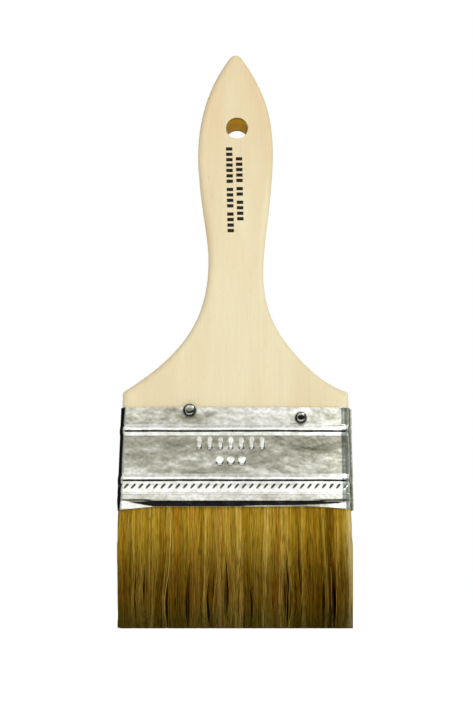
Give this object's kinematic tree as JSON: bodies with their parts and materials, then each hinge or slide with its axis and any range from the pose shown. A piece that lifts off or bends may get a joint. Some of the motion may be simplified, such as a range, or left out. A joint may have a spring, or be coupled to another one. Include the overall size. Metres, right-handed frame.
{
  "type": "paint brush",
  "caption": "Flat utility paint brush with a waisted wooden handle, a hang hole, a beaded tin-plated ferrule and natural bristle that bends.",
  "frame": {"origin": "middle of the bristle's cut tips, which the brush stands on", "axes": "+Z from the bristle tips up the handle; -Y out of the front; +X across the brush, to the lock seam"},
  "size_m": [0.0768, 0.0154, 0.1959],
  "materials": {
    "board": "matte",
    "tinned_sheet": "satin",
    "nail_steel": "polished",
    "filler_wood": "matte",
    "resin": "satin",
    "bristle": "matte"
  },
  "bodies": {
    "handle_side": {"handle": "board", "ferrule": "tinned_sheet", "front_nails": "nail_steel", "rear_nails": "nail_steel", "filler_strip": "filler_wood", "epoxy_setting": "resin"},
    "bristle_head": {"bristle_row_front": "bristle", "bristle_row_rear": "bristle"}
  },
  "joints": [
    {"name": "bristle_flex", "type": "hinge", "parent": "handle_side", "child": "bristle_head", "pos_m": [0, 0, 0.036], "axis": [1, 0, 0], "range_deg": [-30, 30], "stiffness_Nm_per_rad": 0.4}
  ]
}
